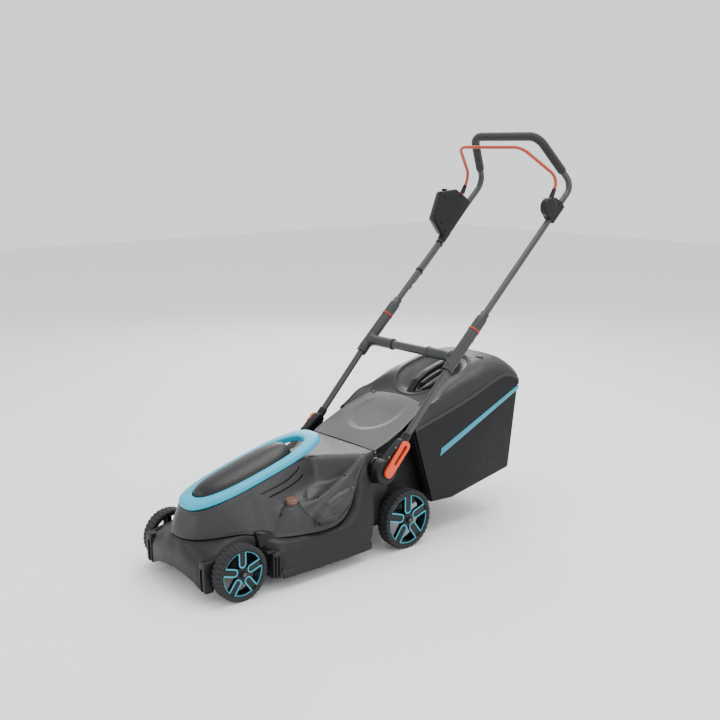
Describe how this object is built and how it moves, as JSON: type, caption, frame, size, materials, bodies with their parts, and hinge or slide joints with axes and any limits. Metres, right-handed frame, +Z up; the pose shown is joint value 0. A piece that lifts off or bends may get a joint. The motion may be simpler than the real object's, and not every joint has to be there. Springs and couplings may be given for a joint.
{
  "type": "cordless lawn mower",
  "caption": "Rotary lawn mower with a rear grass box, a ring-shaped carry handle and a folding telescopic push handle.",
  "frame": {"origin": "centre of the bounding box, on the ground under the wheels", "axes": "+Z up; -Y is the way the mower drives; +X is the mower's left"},
  "size_m": [0.4292, 1.3625, 1.186],
  "materials": {
    "hood_plastic": "fine satin texture",
    "deck_plastic": "fine satin texture",
    "ring_cyan": "satin",
    "lever_orange": "satin",
    "bail_orange": "satin",
    "knob_copper": "satin",
    "trim_teal": "satin",
    "tube_paint": "satin dark grey paint",
    "foam": "fine open foam",
    "tyre_rubber": "matt",
    "black_plastic": "satin",
    "steel": "brushed",
    "blade_steel": "satin paint",
    "zinc_screw": "plated",
    "cable_black": "smooth",
    "motor_metal": "cast",
    "key_red": "satin"
  },
  "bodies": {
    "chassis": {"deck_housing": "deck_plastic", "motor_hood": "hood_plastic", "carry_handle": "ring_cyan", "hinge_pins": "steel", "motor_housing": "motor_metal", "motor_bearings": "steel", "battery_tray": "black_plastic", "battery_packs": "black_plastic", "safety_key": "key_red", "handle_brackets": "steel", "hood_screws": "zinc_screw"},
    "lid": {"battery_lid": "hood_plastic"},
    "height_knob": {"height_button": "knob_copper"},
    "rotor": {"rotor_shaft": "steel", "blade_carrier": "black_plastic", "blade": "blade_steel", "blade_bolt": "steel"},
    "flap": {"rear_flap": "hood_plastic"},
    "front_axle_body": {"front_axle": "steel", "front_axle_caps": "black_plastic"},
    "rear_axle_body": {"rear_axle": "steel", "rear_axle_caps": "black_plastic"},
    "wheel_front_left": {"tyre_front_left": "tyre_rubber", "rim_front_left": "black_plastic", "trim_front_left": "trim_teal"},
    "wheel_front_right": {"tyre_front_right": "tyre_rubber", "rim_front_right": "black_plastic", "trim_front_right": "trim_teal"},
    "wheel_rear_left": {"tyre_rear_left": "tyre_rubber", "rim_rear_left": "black_plastic", "trim_rear_left": "trim_teal"},
    "wheel_rear_right": {"tyre_rear_right": "tyre_rubber", "rim_rear_right": "black_plastic", "trim_rear_right": "trim_teal"},
    "link": {"height_link": "steel"},
    "lower_handle": {"lower_tubes": "tube_paint", "handle_sockets": "black_plastic", "pivot_bolts": "steel", "tube_connectors": "deck_plastic", "crossbar": "tube_paint", "connector_rings": "lever_orange"},
    "lever_left": {"lock_lever_left": "lever_orange"},
    "lever_right": {"lock_lever_right": "lever_orange"},
    "collar_left": {"twist_collar_left": "black_plastic"},
    "collar_right": {"twist_collar_right": "black_plastic"},
    "upper_handle": {"upper_tube": "tube_paint", "foam_grip": "foam", "switch_housing": "black_plastic", "bail_pivot_housing": "black_plastic", "handle_cable": "cable_black", "cable_clips": "black_plastic", "switch_screws": "zinc_screw"},
    "start_key": {"start_button": "black_plastic"},
    "bail": {"switch_bail": "bail_orange", "bail_boots": "black_plastic"},
    "grass_box": {"box_tub": "deck_plastic", "box_lid": "deck_plastic", "box_handle": "black_plastic", "box_stripes": "trim_teal"},
    "fill_flap": {"level_flap": "trim_teal"}
  },
  "joints": [
    {"name": "lid_hinge", "type": "hinge", "parent": "chassis", "child": "lid", "pos_m": [0, -0.5862, 0.2407], "axis": [1, 0, 0], "range_deg": [0, 44]},
    {"name": "height_button_press", "type": "slide", "parent": "chassis", "child": "height_knob", "axis": [0, 0, -1], "range_m": [0, 0.004], "stiffness_N_per_m": 1500, "springref_m": -0.0008},
    {"name": "blade_spin", "type": "hinge", "parent": "chassis", "child": "rotor", "pos_m": [0, -0.3172, 0.05], "axis": [0, 0, 1], "continuous": true},
    {"name": "flap_hinge", "type": "hinge", "parent": "chassis", "child": "flap", "pos_m": [0, -0.0952, 0.287], "axis": [1, 0, 0], "range_deg": [0, 53]},
    {"name": "front_axle_swing", "type": "hinge", "parent": "chassis", "child": "front_axle_body", "pos_m": [0, -0.5297, 0.059], "axis": [1, 0, 0], "range_deg": [0, 35]},
    {"name": "rear_axle_swing", "type": "hinge", "parent": "chassis", "child": "rear_axle_body", "pos_m": [0, 0.0353, 0.071], "axis": [1, 0, 0], "range_deg": [0, 35]},
    {"name": "wheel_front_left_spin", "type": "hinge", "parent": "front_axle_body", "child": "wheel_front_left", "pos_m": [0.2, -0.5897, 0.075], "axis": [1, 0, 0], "continuous": true},
    {"name": "wheel_front_right_spin", "type": "hinge", "parent": "front_axle_body", "child": "wheel_front_right", "pos_m": [-0.2, -0.5897, 0.075], "axis": [1, 0, 0], "continuous": true},
    {"name": "wheel_rear_left_spin", "type": "hinge", "parent": "rear_axle_body", "child": "wheel_rear_left", "pos_m": [0.2, -0.0247, 0.087], "axis": [1, 0, 0], "continuous": true},
    {"name": "wheel_rear_right_spin", "type": "hinge", "parent": "rear_axle_body", "child": "wheel_rear_right", "pos_m": [-0.2, -0.0247, 0.087], "axis": [1, 0, 0], "continuous": true},
    {"name": "height_link_slide", "type": "slide", "parent": "chassis", "child": "link", "axis": [0, -1, 0], "range_m": [0, 0.0391]},
    {"name": "handle_fold", "type": "hinge", "parent": "chassis", "child": "lower_handle", "pos_m": [0, -0.1065, 0.2456], "axis": [1, 0, 0], "range_deg": [0, 121]},
    {"name": "lock_lever_left_turn", "type": "hinge", "parent": "lower_handle", "child": "lever_left", "pos_m": [0.209, -0.11097, 0.24088], "axis": [0, 0.7266, -0.6871], "range_deg": [0, 90]},
    {"name": "lock_lever_right_turn", "type": "hinge", "parent": "lower_handle", "child": "lever_right", "pos_m": [-0.209, -0.11097, 0.24088], "axis": [0, -0.7266, 0.6871], "range_deg": [0, 90]},
    {"name": "collar_left_twist", "type": "hinge", "parent": "lower_handle", "child": "collar_left", "pos_m": [0.191, 0.2448, 0.60606], "axis": [0, 0.7266, 0.6871], "range_deg": [0, 45]},
    {"name": "collar_right_twist", "type": "hinge", "parent": "lower_handle", "child": "collar_right", "pos_m": [-0.191, 0.2448, 0.60606], "axis": [0, 0.7266, 0.6871], "range_deg": [0, 45]},
    {"name": "handle_telescope", "type": "slide", "parent": "lower_handle", "child": "upper_handle", "axis": [0, 0.7266, 0.6871], "range_m": [-0.04, 0.04]},
    {"name": "start_button_press", "type": "slide", "parent": "upper_handle", "child": "start_key", "axis": [0, 0, -1], "range_m": [0, 0.004], "stiffness_N_per_m": 1200, "springref_m": -0.0008},
    {"name": "bail_pull", "type": "hinge", "parent": "upper_handle", "child": "bail", "pos_m": [0, 0.5688, 0.96], "axis": [1, 0, 0], "range_deg": [-20, 0], "stiffness_Nm_per_rad": 4, "springref_deg": 40.11},
    {"name": "grass_box_slide", "type": "slide", "parent": "chassis", "child": "grass_box", "axis": [0, 0.9397, 0.342], "range_m": [0, 0.35]},
    {"name": "level_flap_swing", "type": "hinge", "parent": "grass_box", "child": "fill_flap", "pos_m": [0.085, 0.4088, 0.4938], "axis": [-1, 0, 0], "range_deg": [0, 30]}
  ],
  "couplings": [
    {"joint": "rear_axle_swing", "follows": "front_axle_swing", "ratio": 1},
    {"joint": "height_link_slide", "follows": "front_axle_swing", "m_per_rad": 0.064}
  ]
}
